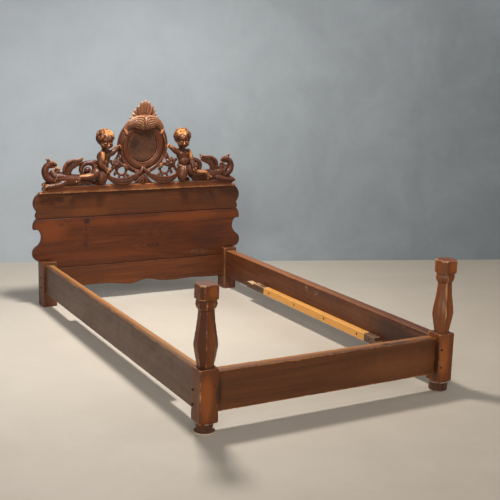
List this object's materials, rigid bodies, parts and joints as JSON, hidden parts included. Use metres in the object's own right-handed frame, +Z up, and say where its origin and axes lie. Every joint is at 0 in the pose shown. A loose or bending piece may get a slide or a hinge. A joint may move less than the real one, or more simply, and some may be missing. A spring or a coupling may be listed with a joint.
{
  "type": "single bed",
  "caption": "Low walnut single bed with faceted foot posts, side rails that lift off iron hook pins, and a scroll-sided headboard under a pierced figural crest.",
  "frame": {"origin": "on the floor under the middle of the bed", "axes": "+Z up, +Y from the foot end to the headboard, +X to the right for a viewer who faces the headboard"},
  "size_m": [1.2324, 1.9995, 1.0934],
  "materials": {
    "walnut_board": "old waxed walnut boards, satin",
    "walnut_frame": "worn waxed walnut, satin",
    "walnut_carved": "carved and polished walnut, rubbed bright on the high places",
    "walnut_rough": "bare old walnut, matt",
    "poplar": "bare darkened poplar, matt",
    "pine": "new planed pine, matt",
    "iron": "dark wrought iron"
  },
  "bodies": {
    "bed_frame": {"acanthus_scroll_left": "walnut_carved", "acanthus_scroll_right": "walnut_carved", "back_batten_nails": "iron", "cartouche_bracket": "walnut_carved", "cartouche_field": "walnut_carved", "cartouche_frame": "walnut_carved", "cartouche_leaf_fold": "walnut_carved", "crest_base_rail": "walnut_carved", "crest_dowels": "walnut_rough", "flower_spray_left": "walnut_carved", "flower_spray_right": "walnut_carved", "foot_post_hook_pins": "iron", "foot_post_left": "walnut_frame", "foot_post_right": "walnut_frame", "foot_rail": "walnut_frame", "foot_rail_pegs": "walnut_rough", "head_post_hook_pins": "iron", "head_post_left": "walnut_frame", "head_post_right": "walnut_frame", "headboard_back_batten_left": "poplar", "headboard_back_batten_right": "poplar", "headboard_board_lower": "walnut_board", "headboard_board_middle": "walnut_board", "headboard_board_upper": "walnut_board", "headboard_cap_moulding": "walnut_carved", "putto_left": "walnut_carved", "putto_right": "walnut_carved", "shell_palmette": "walnut_carved", "turned_foot_left": "walnut_frame", "turned_foot_right": "walnut_frame", "winged_beast_left": "walnut_carved", "winged_beast_right": "walnut_carved"},
    "left_rail": {"side_rail_left": "walnut_frame", "hook_plates_left": "iron", "hook_plate_nails_left": "iron", "bearer_left": "walnut_rough", "bearer_screws_left": "iron"},
    "right_rail": {"side_rail_right": "walnut_frame", "hook_plates_right": "iron", "hook_plate_nails_right": "iron", "pine_batten": "pine", "bearer_stub_rear": "walnut_rough", "bearer_stub_front": "walnut_rough", "bearer_block_front": "walnut_rough", "bearer_screws_right": "iron"}
  },
  "joints": [
    {"name": "left_rail_lift", "type": "slide", "parent": "bed_frame", "child": "left_rail", "axis": [0, 0, 1], "range_m": [0, 0.022]},
    {"name": "right_rail_lift", "type": "slide", "parent": "bed_frame", "child": "right_rail", "axis": [0, 0, 1], "range_m": [0, 0.022]}
  ]
}
